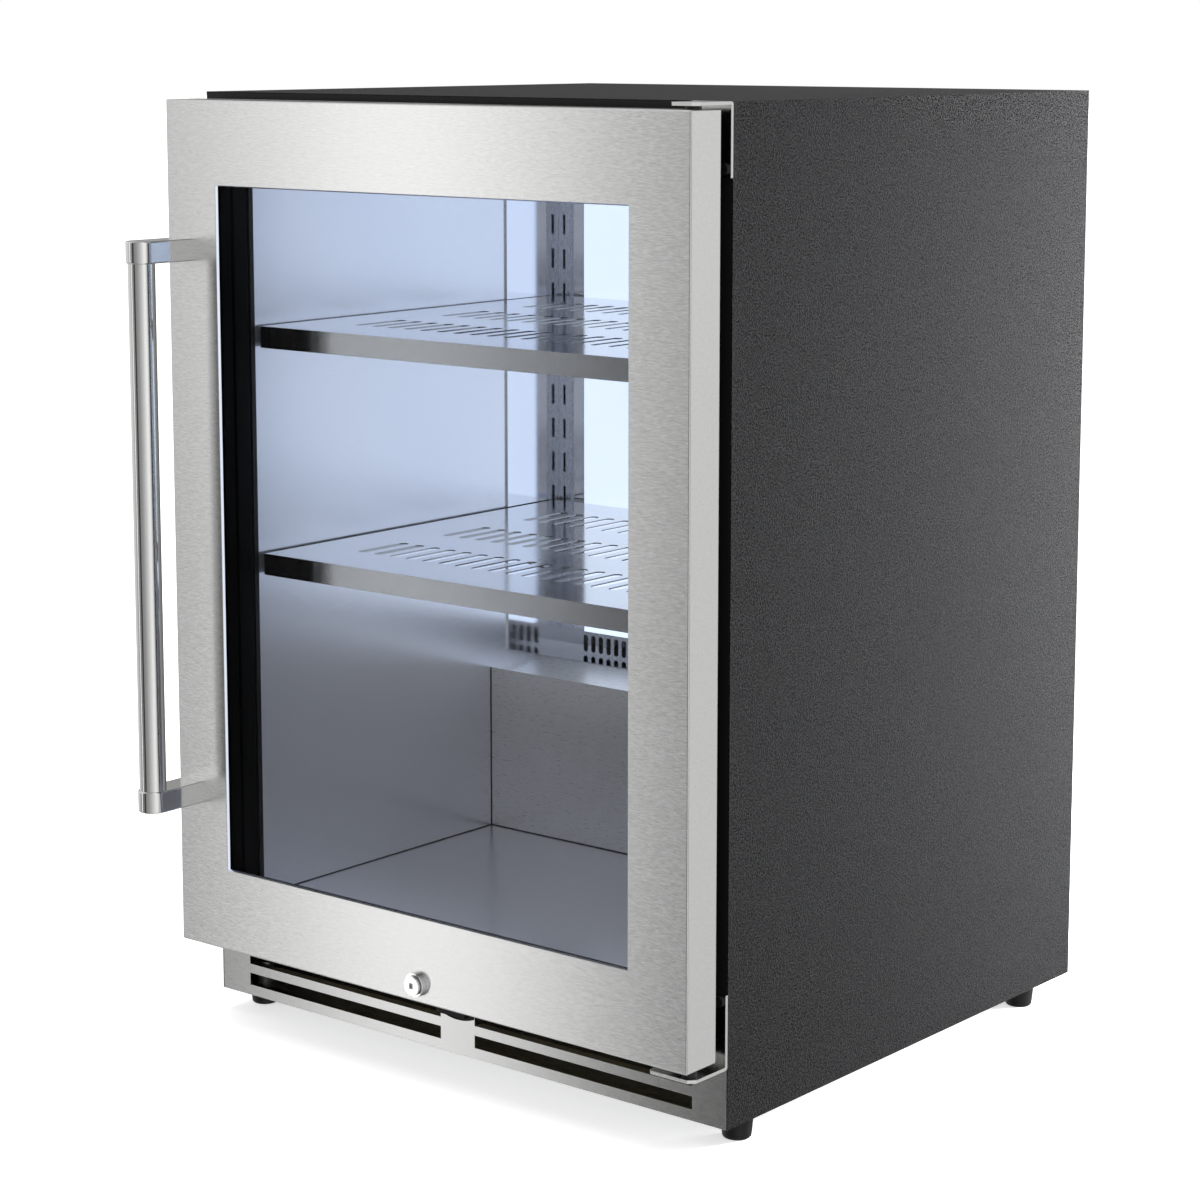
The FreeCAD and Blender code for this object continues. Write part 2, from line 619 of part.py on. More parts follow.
def shelf_brackets():
    """Cantilever arms under the shelf ends, with hooks through the pilaster slots."""
    front = "duct_front - pilaster_deep"
    tip = "shelf_front + 12"
    arms = []
    for name, (top, hook_slots) in SHELVES.items():
        under = f"{top} - shelf_sheet"
        for side, sign in (("left", "-"), ("right", "")):
            label = f"arm_{name}_{side}"
            body = new_body(label)
            low = f"{sign}slot_column - bracket_sheet / 2"
            high = f"{sign}slot_column + bracket_sheet / 2"
            pad(body, f"{label}_plate", "YZ_Plane", low, high,
                lambda s: outline(s, [(tip, under), (tip, f"{under} - bracket_tip"),
                                      ("bracket_knee", f"{under} - bracket_drop"),
                                      (front, f"{under} - bracket_rear"), (front, under)]))

            def hooks(sketch):
                for number in hook_slots:
                    middle = f"first_slot + pilaster_pitch * {number}"
                    rectangle(sketch, (front, f"{middle} - hook_half"),
                              ("duct_front - 0.2", f"{middle} + hook_half"))

            pad(body, f"{label}_hooks", "YZ_Plane", low, high, hooks)
            arms.append(body)
    group("shelf_brackets", arms)


def control_panel():
    """A touch control and lamp housing under the front of the ceiling."""
    front = f"{LINER_FRONT} + control_start"
    shell = box("control_shell", ("-control_half", front, "inside_ceiling - control_tall"),
                ("control_half", f"{front} + control_deep", "inside_ceiling"))
    window = box("control_window", ("-display_half", f"{front} - 1", "inside_ceiling - 12"),
                 ("display_half", f"{front} + 1", "inside_ceiling - 4"))
    keep(cut("control_panel", shell, [window]))


# ---------------------------------------------------------------- hinges

def hinge_bracket(name, inner, arm_low, arm_high, leg_low, leg_high, bend_at):
    """A plate bent into an arm over or under the door and a leg on the cabinet's face."""
    body = new_body(name)
    leg_front = f"{FACE} - bracket_thick"
    pad(body, f"{name}_arm", "XY_Plane", arm_low, arm_high,
        lambda s: outline(s, [(inner, FACE), (inner, f"{FACE} - arm_reach + arm_corner / 2"),
                              (f"{inner} + arm_corner / 2", f"{FACE} - arm_reach"),
                              ("width / 2 - arm_corner", f"{FACE} - arm_reach"),
                              ("width / 2", f"{FACE} - arm_reach + arm_corner"),
                              ("width / 2", FACE)]))
    pad(body, f"{name}_leg", "XZ_Plane", leg_front, FACE,
        lambda s: rectangle(s, ("leg_inner", leg_low), ("width / 2", leg_high)))
    pocket(body, f"{name}_holes", "XZ_Plane", leg_front, FACE,
           lambda s: [circle(s, (x, z), "screw_hole") for x, z in HINGE_SCREWS.values()
                      if abs(float(z) - bend_at) < 100])

    def at_the_bend(edge):
        bound = edge.BoundBox
        flat = bound.ZLength < 0.01 and bound.YLength < 0.01
        return flat and abs(bound.YMin - face_y) < 0.01 and abs(bound.ZMin - bend_at) < 0.01

    round_edges(body, f"{name}_bend", "bend_radius", at_the_bend)
    keep(body)


def hinge_brackets():
    hinge_bracket("hinge_bracket_bottom", "low_arm_inner", "low_arm_top - bracket_thick",
                  "low_arm_top", "low_arm_top - bracket_thick", "low_leg_top",
                  SIZES["low_arm_top"] - SIZES["bracket_thick"])
    hinge_bracket("hinge_bracket_top", "high_arm_inner", "height - bracket_thick", "height",
                  "high_leg_bottom", "height", SIZES["height"])


def hinge_pins():
    """One stud on each bracket arm."""
    group("hinge_pins", [
        rod("pin_bottom", ("pivot_x", "pivot_y", "low_arm_top"), "pin_radius", "pin_tall"),
        rod("pin_top", ("pivot_x", "pivot_y", "height - bracket_thick - pin_tall"), "pin_radius",
            "pin_tall"),
    ])


def cross_recess(name, point, reach, deep):
    """Two crossed slots for a screwdriver, cut into a head that faces the front."""
    x, y, z = point
    across = box(f"{name}_across", (f"{x} - {reach}", f"{y} - 1", f"{z} - 0.5"),
                 (f"{x} + {reach}", f"{y} + {deep}", f"{z} + 0.5"))
    down = box(f"{name}_down", (f"{x} - 0.5", f"{y} - 1", f"{z} - {reach}"),
               (f"{x} + 0.5", f"{y} + {deep}", f"{z} + {reach}"))
    return [across, down]


def hinge_screws():
    """Four cross-head screws through the bracket legs."""
    screws = []
    head_back = f"{FACE} - bracket_thick"
    head_front = f"{head_back} - head_tall"
    for name, (x, z) in HINGE_SCREWS.items():
        head = rod(f"screw_head_{name}", (x, head_front, z), "head_radius", "head_tall", "y")
        shank = rod(f"screw_shank_{name}", (x, head_back, z), "screw_radius",
                    "bracket_thick + frame_thick - 0.2", "y")
        whole = joined(f"screw_blank_{name}", [head, shank])
        recess = cross_recess(f"screw_{name}", (x, head_front, z), "2.6", "1")
        screws.append(cut(f"hinge_screw_{name}", whole, recess))
    group("hinge_screws", screws)


# ---------------------------------------------------------------- door

BUSHING_BORE = "pin_radius + bushing_wall + 0.1"
LOCK_AT = ("0", "lock_height")
# behind the window's lower edge the inner frame lies lower, out of sight from above
SILL = "(window_bottom - sill_drop)"
HANDLE_HOLES = [("bar_x", "low_post"), ("bar_x", "high_post")]


def door_skin():
    """The folded steel front: a pan open to the rear, with a window."""
    body = new_body("door_skin")
    pad(body, "skin_block", "XZ_Plane", DOOR_FRONT, DOOR_BACK,
        lambda s: rectangle(s, ("-door_half", "door_bottom"), ("door_half", "door_top")))
    body.Tip = body.Group[-1]
    round_edges(body, "skin_bends", "skin_round",
                lambda edge: edge.BoundBox.YMin < face_y - SIZES["door_gap"] - 1)
    pocket(body, "skin_inside", "XZ_Plane", f"{DOOR_FRONT} + door_sheet", DOOR_BACK,
           lambda s: rectangle(s, ("-door_half + door_sheet", "door_bottom + door_sheet"),
                               ("door_half - door_sheet", "door_top - door_sheet")))
    pocket(body, "skin_window", "XZ_Plane", DOOR_FRONT, f"{DOOR_FRONT} + door_sheet",
           lambda s: rectangle(s, ("-window_half", "window_bottom"), ("window_half", "window_top")))
    pocket(body, "skin_lock_hole", "XZ_Plane", DOOR_FRONT, f"{DOOR_FRONT} + door_sheet",
           lambda s: circle(s, LOCK_AT, "barrel_radius + 0.1"))
    pocket(body, "skin_handle_holes", "XZ_Plane", DOOR_FRONT, f"{DOOR_FRONT} + door_sheet",
           lambda s: [circle(s, at, "bolt_radius + 0.5") for at in HANDLE_HOLES])
    pocket(body, "skin_hinge_holes", "XY_Plane", "door_bottom - 1", "door_top + 1",
           lambda s: circle(s, ("pivot_x", "pivot_y"), BUSHING_BORE))
    keep(body)


def door_liner():
    """The moulded frame inside the skin that holds the glass and carries the gasket."""
    body = new_body("door_liner")
    front = f"{DOOR_FRONT} + door_sheet"
    half, low, high = "door_half - door_sheet", "door_bottom + door_sheet", "door_top - door_sheet"
    pad(body, "liner_block", "XZ_Plane", front, DOOR_BACK,
        lambda s: rectangle(s, (f"-({half})", low), (half, high)))
    pocket(body, "liner_window", "XZ_Plane", front, DOOR_BACK,
           lambda s: rectangle(s, ("-window_half", SILL), ("window_half", "window_top")))
    lap = "(glass_lap + 0.5)"
    pocket(body, "glass_rebate", "XZ_Plane", front, GLASS_BACK,
           lambda s: rectangle(s, (f"-window_half - {lap}", f"{SILL} - {lap}"),
                               (f"window_half + {lap}", f"window_top + {lap}")))
    pocket(body, "lock_bore", "XZ_Plane", front, DOOR_BACK,
           lambda s: circle(s, LOCK_AT, "barrel_radius + 0.1"))
    pocket(body, "bolt_bores", "XZ_Plane", front, DOOR_BACK,
           lambda s: [circle(s, at, "bolt_radius + 0.5") for at in HANDLE_HOLES])
    pocket(body, "bolt_counterbores", "XZ_Plane", f"{DOOR_BACK} - bolt_sink", DOOR_BACK,
           lambda s: [circle(s, at, "bolt_head + 1") for at in HANDLE_HOLES])
    pocket(body, "bushing_bores", "XY_Plane", "door_bottom", "door_top",
           lambda s: circle(s, ("pivot_x", "pivot_y"), BUSHING_BORE))
    keep(body)


def glazing():
    """Two panes and the bar that keeps them apart."""
    half = "window_half + glass_lap"
    low, high = f"{SILL} - glass_lap", "window_top + glass_lap"
    first_back = f"{GLASS_FRONT} + glass_thick"
    second_front = f"{first_back} + glass_space"
    keep(box("glass_front", (f"-({half})", GLASS_FRONT, low), (half, first_back, high)))
    keep(box("glass_rear", (f"-({half})", second_front, low), (half, GLASS_BACK, high)))
    body = new_body("glass_spacer")
    pad(body, "spacer_block", "XZ_Plane", first_back, second_front,
        lambda s: rectangle(s, (f"-({half})", low), (half, high)))
    pocket(body, "spacer_inside", "XZ_Plane", first_back, second_front,
           lambda s: rectangle(s, ("-window_half", SILL), ("window_half", "window_top")))
    keep(body)


def door_gasket():
    """The magnetic seal around the back of the door."""
    body = new_body("door_gasket")
    back = f"{FACE} - gasket_clear"
    pad(body, "gasket_block", "XZ_Plane", DOOR_BACK, back,
        lambda s: rectangle(s, ("-gasket_half", "gasket_bottom"), ("gasket_half", "gasket_top")))
    pocket(body, "gasket_inside", "XZ_Plane", DOOR_BACK, back,
           lambda s: rectangle(s, ("-gasket_half + gasket_wide", "gasket_bottom + gasket_wide"),
                               ("gasket_half - gasket_wide", "gasket_top - gasket_wide")))
    keep(body)


def handle():
    """A round bar between two posts."""
    keep(rod("handle_bar", ("bar_x", BAR_Y, "low_post + post_tall / 2"), "bar_radius",
             "high_post - low_post - post_tall"))
    posts = []
    for name, z in (("low", "low_post"), ("high", "high_post")):
        body = new_body(f"post_{name}")
        bottom, top = f"{z} - post_tall / 2", f"{z} + post_tall / 2"
        pad(body, f"post_block_{name}", "XY_Plane", bottom, top,
            lambda s: rectangle(s, ("bar_x - post_half", BAR_Y), ("bar_x + post_half", DOOR_FRONT)))
        pad(body, f"post_nose_{name}", "XY_Plane", bottom, top,
            lambda s: circle(s, ("bar_x", BAR_Y), "post_half"))
        pocket(body, f"post_thread_{name}", "XZ_Plane", f"{DOOR_FRONT} - 22", DOOR_FRONT,
               lambda s: circle(s, ("bar_x", z), "bolt_radius + running_clear"))
        round_edges(body, f"post_edges_{name}", "post_edge", lambda edge: edge.BoundBox.ZLength < 0.01
                    and edge.BoundBox.YMin < face_y - 60)
        posts.append(body)
    group("handle_posts", posts)


def handle_screws():
    """Two bolts that hold the posts from inside the door."""
    bolts = []
    head_front = f"{DOOR_BACK} - bolt_sink"
    for name, z in (("low", "low_post"), ("high", "high_post")):
        head = rod(f"bolt_head_{name}", ("bar_x", head_front, z), "bolt_head", "bolt_sink / 2", "y")
        shank = rod(f"bolt_shank_{name}", ("bar_x", f"{DOOR_FRONT} - 20", z), "bolt_radius",
                    f"{head_front} - {DOOR_FRONT} + 20", "y")
        bolts.append(joined(f"handle_bolt_{name}", [head, shank]))
    group("handle_screws", bolts)


def hinge_bushings():
    """Flanged nylon sleeves in the door's hinge corners."""
    sleeves = []
    bore_radius = "pin_radius + running_clear"
    for name, sleeve_low, flange_low, flange_tall in (
            ("bottom", "door_bottom", "low_arm_top + flange_gap",
             "door_bottom - low_arm_top - flange_gap"),
            ("top", "door_top - bushing_tall", "door_top",
             "height - bracket_thick - door_top - flange_gap")):
        sleeve = rod(f"sleeve_{name}", ("pivot_x", "pivot_y", sleeve_low),
                     "pin_radius + bushing_wall", "bushing_tall")
        flange = rod(f"flange_{name}", ("pivot_x", "pivot_y", flange_low), "bushing_flange",
                     flange_tall)
        bore = rod(f"bore_{name}", ("pivot_x", "pivot_y", f"{sleeve_low} - 10"), bore_radius,
                   "bushing_tall + 23")
        blank = joined(f"bushing_blank_{name}", [sleeve, flange])
        sleeves.append(cut(f"bushing_{name}", blank, [bore]))
    group("hinge_bushings", sleeves)


# ---------------------------------------------------------------- lock

def lock():
    """A cylinder lock in the bottom rail, its cam behind the door, and the keeper it enters."""
    z = "lock_height"
    collar = rod("lock_collar", ("0", f"{DOOR_FRONT} - collar_out", z), "collar_radius",
                 "collar_out", "y")
    barrel = rod("lock_barrel", ("0", DOOR_FRONT, z), "barrel_radius", "door_thick + 1", "y")
    bore = rod("lock_barrel_bore", ("0", f"{DOOR_FRONT} - 20", z), "plug_radius + running_clear",
               "80", "y")
    keep(cut("lock_housing", joined("lock_blank", [collar, barrel]), [bore]))

    disc_front = f"({DOOR_FRONT} - plug_out)"
    disc_back = f"({DOOR_FRONT} - collar_out - disc_gap)"
    disc = rod("plug_disc", ("0", disc_front, z), "plug_face", f"{disc_back} - {disc_front}", "y")
    shaft = rod("plug_shaft", ("0", disc_back, z), "plug_radius",
                f"{CAM_BACK} - cam_thick - {disc_back}", "y")
    socket = box("key_socket", ("-2", f"{disc_front} - 1", f"{z} - 2.5"),
                 ("2", f"{disc_front} + 6", f"{z} + 2.5"))
    keep(cut("lock_plug", joined("plug_blank", [disc, shaft]), [socket]))

    cam = new_body("lock_cam")
    cam_front = f"{CAM_BACK} - cam_thick"
    pad(cam, "cam_hub_disc", "XZ_Plane", cam_front, CAM_BACK,
        lambda s: circle(s, LOCK_AT, "cam_hub"))
    pad(cam, "cam_arm", "XZ_Plane", cam_front, CAM_BACK,
        lambda s: rectangle(s, ("-cam_reach", f"{z} - cam_half"), ("0", f"{z} + cam_half")))
    keep(cam)

    keeper = new_body("lock_keeper")
    lip = f"{CAM_BACK} - cam_thick - keeper_clear"
    back = f"{FACE} + grille_sheet"
    behind = f"{back} + keeper_sheet"
    under = "keeper_shelf - keeper_sheet"
    pad(keeper, "keeper_angle", "YZ_Plane", "-keeper_half", "keeper_half",
        lambda s: outline(s, [(lip, "keeper_shelf"), (behind, "keeper_shelf"),
                              (behind, "keeper_foot"), (back, "keeper_foot"), (back, under),
                              (lip, under)]))
    pad(keeper, "keeper_lip", "YZ_Plane", "-keeper_half", "keeper_half",
        lambda s: rectangle(s, (lip, "keeper_shelf"), (f"{lip} + keeper_sheet", "keeper_top")))
    keep(keeper)


# ---------------------------------------------------------------- cooling machinery

def finned_coil(name, low, high, fins, axis):
    """Thin fins on a few straight tubes, between the corners low and high."""
    low, high = Vector(*low), Vector(*high)
    span = high - low
    along = Vector(1, 0, 0) if axis == "x" else Vector(0, 1, 0)
    run = span.dot(along)
    fin_thick = 1.5
    slabs = []
    for i in range(fins):
        size = [span.x, span.y, span.z]
        size[0 if axis == "x" else 1] = fin_thick
        corner = low + along * ((run - fin_thick) * i / (fins - 1))
        slabs.append(Part.makeBox(*size, corner))
    across = span - along * run
    rows = 5
    for i in range(rows):
        for j in (0.3, 0.7):
            centre = low + Vector(across.x * j, across.y * j, span.z * (i + 0.5) / rows)
            slabs.append(Part.makeCylinder(4, run, centre, along))
    return keep(computed(name, slabs[0].fuse(slabs[1:])))


def fan_housing(frame, opening, motor_radius, motor_deep, shaft_radius):
    """A square frame with a round opening, and a motor held behind it on four arms.

    Built with the air path along +Z, the frame's front face at z = 0.
    """
    thick = 25
    half = frame / 2
    shell = Part.makeBox(frame, frame, thick, Vector(-half, -half, 0))
    shell = shell.cut(Part.makeCylinder(opening, thick + 2, Vector(0, 0, -1)))
    motor = Part.makeCylinder(motor_radius, motor_deep, Vector(0, 0, thick))
    arms = []
    for angle in (45, 135, 225, 315):
        arm = Part.makeBox(half * 1.25, 8, 4, Vector(0, -4, thick))
        arm.rotate(Vector(0, 0, 0), Vector(0, 0, 1), angle)
        arms.append(arm)
    body = shell.fuse([motor] + arms)
    return body.cut(Part.makeCylinder(shaft_radius + SIZES["running_clear"], 20,
                                      Vector(0, 0, thick - 1)))


def fan_rotor(blade_reach, hub_radius, shaft_radius):
    """A hub with pitched blades on a shaft, in the same frame as its housing."""
    hub = Part.makeCylinder(hub_radius, 14, Vector(0, 0, 6))
    shaft = Part.makeCylinder(shaft_radius, 22, Vector(0, 0, 18))
    blades = []
    for i in range(5):
        blade = Part.makeBox(blade_reach - hub_radius + 4, 26, 2, Vector(hub_radius - 4, -13, 12))
        blade.rotate(Vector(0, 0, 13), Vector(1, 0, 0), 28)
        blade.rotate(Vector(0, 0, 0), Vector(0, 0, 1), 72 * i)
        blades.append(blade)
    inside = Part.makeCylinder(blade_reach, 40, Vector(0, 0, 0))
    return hub.fuse([shaft] + blades).common(inside.fuse(shaft))


def fans():
    """The evaporator fan faces the duct panel; the condenser fan blows along the cabinet."""
    up_front = FreeCAD.Placement(Vector(0, 235, 600), FreeCAD.Rotation(Vector(1, 0, 0), -90))
    along = FreeCAD.Placement(Vector(-192, 243, 118), FreeCAD.Rotation(Vector(0, 1, 0), 90))
    for name, spot, frame, opening in (("evaporator_fan", up_front, 120, 56),
                                       ("condenser_fan", along, 150, 70)):
        housing = keep(computed(f"{name}_housing", fan_housing(frame, opening, 18, 20, 3)))
        housing.Placement = spot
        rotor = keep(computed(f"{name}_rotor", fan_rotor(opening - 3, 20, 3)))
        rotor.Placement = spot


COMPRESSOR = Vector(120, 243, 45)
COMPRESSOR_RADIUS = 72
COMPRESSOR_TALL = 145
MOUNTS = [(x, y) for x in (-88, 88) for y in (-58, 58)]


def compressor():
    """A sealed can on a foot plate, standing on four rubber grommets."""
    can = Part.makeCylinder(COMPRESSOR_RADIUS, COMPRESSOR_TALL, COMPRESSOR)
    rims = [edge for edge in can.Edges if edge.BoundBox.ZLength < 0.01]
    can = can.makeFillet(22, rims)
    plate = Part.makeBox(204, 144, 5, COMPRESSOR + Vector(-102, -72, -4))
    keep(computed("compressor", can.fuse(plate)))
    grommet_tall = COMPRESSOR.z - 4 - pan_top
    grommets = [Part.makeCylinder(12, grommet_tall,
                                  Vector(COMPRESSOR.x + x, COMPRESSOR.y + y, pan_top))
                for x, y in MOUNTS]
    keep(computed("compressor_mounts", Part.makeCompound(grommets)))


def pipe(points, radius, bend):
    """A round tube along straight runs joined by tangent arcs."""
    points = [Vector(*p) for p in points]
    edges = []
    tail = points[0]
    for before, corner, after in zip(points, points[1:], points[2:]):
        to_start = (before - corner).normalize()
        to_end = (after - corner).normalize()
        half_turn = (math.pi - to_start.getAngle(to_end)) / 2
        reach = bend * math.tan(half_turn)
        start, end = corner + to_start * reach, corner + to_end * reach
        bisector = (to_start + to_end).normalize()
        middle = corner + bisector * (bend / math.cos(half_turn) - bend)
        edges.append(Part.LineSegment(tail, start).toShape())
        edges.append(Part.Arc(start, middle, end).toShape())
        tail = end
    edges.append(Part.LineSegment(tail, points[-1]).toShape())
    section = Part.Wire(Part.Circle(points[0], points[1] - points[0], radius).toShape())
    return Part.Wire(edges).makePipeShell([section], True, True)


def refrigerant_lines():
    """The discharge line to the condenser and the suction line from the evaporator."""
    lid = COMPRESSOR.z + COMPRESSOR_TALL
    run = 224
    discharge = [(100, 243, lid), (100, 243, run), (-221, 243, run), (-221, 243, 205)]
    suction = [(145, 240, lid), (145, 240, run), (200, 240, run), (200, 240, 350), (180, 240, 350)]
    keep(computed("refrigerant_lines", Part.makeCompound([pipe(discharge, 3, 9),
                                                          pipe(suction, 4, 9)])))


def open_tray(low, high, wall):
    outer = Part.makeBox(high[0] - low[0], high[1] - low[1], high[2] - low[2], Vector(*low))
    inner = Part.makeBox(high[0] - low[0] - 2 * wall, high[1] - low[1] - 2 * wall,
                         high[2] - low[2], Vector(low[0] + wall, low[1] + wall, low[2] + wall))
    return outer.cut(inner)


def machine_compartment():
    finned_coil("evaporator_coil", (-180, 226, 300), (180, 278, 480), 31, "x")
    finned_coil("condenser_coil", (-246, 166, 26), (-196, 320, 205), 23, "y")
    fans()
    compressor()
    refrigerant_lines()
    keep(computed("drip_pan", open_tray((-140, 166, pan_top), (8, 322, pan_top + 26), 2)))
    keep(computed("electronics_box", Part.makeBox(120, 60, 96, Vector(-134, 272, 118))))


def power_inlet():
    """The appliance inlet in the rear panel: a socket body with three blades."""
    block = Part.makeBox(29.6, 22, 21.6, Vector(-14.8, rear_y - 22, 79.2))
    flange = Part.makeBox(44, 2, 30, Vector(-22, rear_y - SIZES["wrap_sheet"] - 2, 75))
    hollow = Part.makeBox(24, 16, 16, Vector(-12, rear_y - 16, 82))
    blades = [Part.makeBox(2, 14, 4, Vector(x - 1, rear_y - 18, z - 2))
              for x, z in ((-7, 88), (7, 88), (0, 93))]
    keep(computed("power_inlet", block.fuse(flange).cut(hollow).fuse(blades)))


side_panels()
top_panel()
rear_panel()
base_pan()
base_rails()
foot_inserts()
feet()
front_frame()
kick_grille()
liners()
liner_step()
insulation()
duct_panel()
light_panel()
pilasters()
for shelf_name, (shelf_top, _) in SHELVES.items():
    shelf(shelf_name, shelf_top)
shelf_brackets()
control_panel()
hinge_brackets()
hinge_pins()
hinge_screws()
door_skin()
door_liner()
glazing()
door_gasket()
handle()
handle_screws()
hinge_bushings()
lock()
machine_compartment()
power_inlet()

doc.recompute()
failed = [obj.Name for obj in doc.Objects if "Invalid" in obj.State or "Error" in obj.State]
failed += [obj.Label for obj in nodes if obj.Shape.isNull() or not obj.Shape.isValid()]
if failed:
    raise RuntimeError("these objects failed: " + ", ".join(failed))

os.makedirs("parts", exist_ok=True)
for obj in nodes:
    obj.Shape.exportStep(f"parts/{obj.Label}.step")
print(len(nodes), "sub-parts written")
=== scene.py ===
import json
import math

import bmesh
import bpy
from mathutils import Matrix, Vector


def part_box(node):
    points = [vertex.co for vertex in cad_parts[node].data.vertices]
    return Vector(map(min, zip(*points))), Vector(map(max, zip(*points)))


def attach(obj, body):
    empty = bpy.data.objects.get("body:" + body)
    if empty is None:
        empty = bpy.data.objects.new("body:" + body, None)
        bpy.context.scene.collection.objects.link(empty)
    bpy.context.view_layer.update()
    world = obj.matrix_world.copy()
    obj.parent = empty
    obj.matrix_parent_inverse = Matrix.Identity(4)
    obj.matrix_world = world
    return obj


# Looks of a glass-door undercounter refrigerator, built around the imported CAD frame. Metres.
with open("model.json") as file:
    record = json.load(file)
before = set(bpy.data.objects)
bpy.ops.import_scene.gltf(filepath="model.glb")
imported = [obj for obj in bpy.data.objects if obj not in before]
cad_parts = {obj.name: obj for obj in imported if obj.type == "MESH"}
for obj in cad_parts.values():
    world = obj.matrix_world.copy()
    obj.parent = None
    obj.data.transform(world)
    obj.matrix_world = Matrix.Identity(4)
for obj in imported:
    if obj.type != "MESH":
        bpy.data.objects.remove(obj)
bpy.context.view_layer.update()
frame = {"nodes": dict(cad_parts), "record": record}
NODES = frame["nodes"]

scene = bpy.context.scene
scene.view_settings.view_transform = "Standard"
scene.view_settings.look = "None"

# ---------------------------------------------------------------- camera

CAMERA_AT = Vector((1.749, -2.153, 0.9325))
CAMERA_YAW, CAMERA_PITCH = math.radians(-39.31), math.radians(-8.515)
LENS, SENSOR_WIDE, LENS_SHIFT = 90.3, 36, -0.1

camera = bpy.data.objects.new("studio_camera", bpy.data.cameras.new("studio_camera"))
scene.collection.objects.link(camera)
camera.data.lens = LENS
camera.data.sensor_width = SENSOR_WIDE
camera.data.shift_y = LENS_SHIFT
camera.location = CAMERA_AT
camera.rotation_euler = (math.pi / 2 + CAMERA_PITCH, 0, -CAMERA_YAW)
scene.camera = camera

# ---------------------------------------------------------------- studio

# What the steel mirrors, as brightness by compass direction: degrees from +X towards +Y.
# The first list is for level looks, the second for looks that fall 18 degrees.
LEVEL = (
    (-180, 0.95), (-160, 0.95), (-145, 0.78), (-139, 0.76), (-137.4, 0.8), (-135.6, 1.25), (-133.7, 1.78),
    (-131.8, 1.38), (-129.8, 0.76), (-128, 0.54), (-122, 0.45), (-114, 0.5), (-112, 0.05),
    (-100, 0.05), (-97, 0.3), (-75, 0.4), (-45, 0.75), (-20, 1.25), (-5, 1.1), (6, 0.35), (30, 0.3),
    (44, 0.5), (50, 0.98), (55, 0.95), (60, 0.5), (72, 0.35), (82, 0.05), (98, 0.05), (106, 0.3), (150, 0.4),
    (165, 0.9), (180, 0.95),
)
FALLING = (
    (-180, 0.8), (-145, 0.34), (-139, 0.22), (-137.2, 0.28), (-135.2, 0.95), (-133.2, 2.5), (-131.4, 1.5),
    (-129.5, 0.4), (-127.8, 0.14), (-122, 0.14), (-114, 0.3), (-112, 0.05), (-100, 0.05), (-97, 0.3),
    (-75, 0.4), (-45, 0.75), (-20, 1.1), (-5, 1.0), (6, 0.35), (30, 0.3), (44, 0.5), (50, 0.85),
    (55, 0.82), (60, 0.45), (72, 0.3), (82, 0.05), (98, 0.05), (106, 0.3), (150, 0.4), (165, 0.8), (180, 0.8),
)
BRIGHTEST = 2.5
FALL = 0.31    # the sine of 18 degrees

FLOOR_HALF = 30
SUN_STRENGTH, SUN_SPREAD, SUN_TILT = 2.1, math.radians(70), math.radians(8)


def compass_ramp(tree, compass, levels):
    """Brightness by direction, one colour stop for each pair of degrees and level."""
    ramp = tree.nodes.new("ShaderNodeValToRGB")
    stops = ramp.color_ramp.elements
    stops.remove(stops[1])
    for number, (degrees, level) in enumerate(levels):
        stop = stops[0] if number == 0 else stops.new(degrees / 360 + 0.5)
        stop.color = (level / BRIGHTEST,) * 3 + (1,)
    tree.links.new(compass.outputs["Fac"], ramp.inputs["Fac"])
    return ramp.outputs["Color"]


def studio_air():
    """Soft surroundings that change with compass direction and a little with height, and plain
    white behind the object."""
    world = bpy.data.worlds.new("studio_air")
    scene.world = world
    world.use_nodes = True
    tree = world.node_tree
    around = tree.nodes["Background"]
    around.inputs["Strength"].default_value = BRIGHTEST
    direction = tree.nodes.new("ShaderNodeTexCoord")
    compass = tree.nodes.new("ShaderNodeTexGradient")
    compass.gradient_type = "RADIAL"
    tree.links.new(direction.outputs["Generated"], compass.inputs["Vector"])
    parts = tree.nodes.new("ShaderNodeSeparateXYZ")
    tree.links.new(direction.outputs["Generated"], parts.inputs["Vector"])
    fall = tree.nodes.new("ShaderNodeMapRange")
    fall.inputs["From Min"].default_value = 0
    fall.inputs["From Max"].default_value = -FALL
    tree.links.new(parts.outputs["Z"], fall.inputs["Value"])
    blend = tree.nodes.new("ShaderNodeMix")
    blend.data_type = "RGBA"
    tree.links.new(fall.outputs["Result"], blend.inputs["Factor"])
    tree.links.new(compass_ramp(tree, compass, LEVEL), blend.inputs["A"])
    tree.links.new(compass_ramp(tree, compass, FALLING), blend.inputs["B"])
    tree.links.new(blend.outputs["Result"], around.inputs["Color"])
    behind = tree.nodes.new("ShaderNodeBackground")
    behind.inputs["Color"].default_value = (1, 1, 1, 1)
    path = tree.nodes.new("ShaderNodeLightPath")
    mix = tree.nodes.new("ShaderNodeMixShader")
    tree.links.new(path.outputs["Is Camera Ray"], mix.inputs["Fac"])
    tree.links.new(around.outputs["Background"], mix.inputs[1])
    tree.links.new(behind.outputs["Background"], mix.inputs[2])
    tree.links.new(mix.outputs["Shader"], tree.nodes["World Output"].inputs["Surface"])


def softbox(name, at, aim, wide, tall, power):
    """A rectangular studio light at a point, facing another, that no polished face mirrors."""
    data = bpy.data.lights.new(name, "AREA")
    data.shape = "RECTANGLE"
    data.size, data.size_y = wide, tall
    data.energy = power
    light = bpy.data.objects.new(name, data)
    scene.collection.objects.link(light)
    light.location = at
    light.rotation_euler = (Vector(aim) - Vector(at)).to_track_quat("-Z", "Y").to_euler()
    light.visible_camera = False
    light.visible_glossy = False


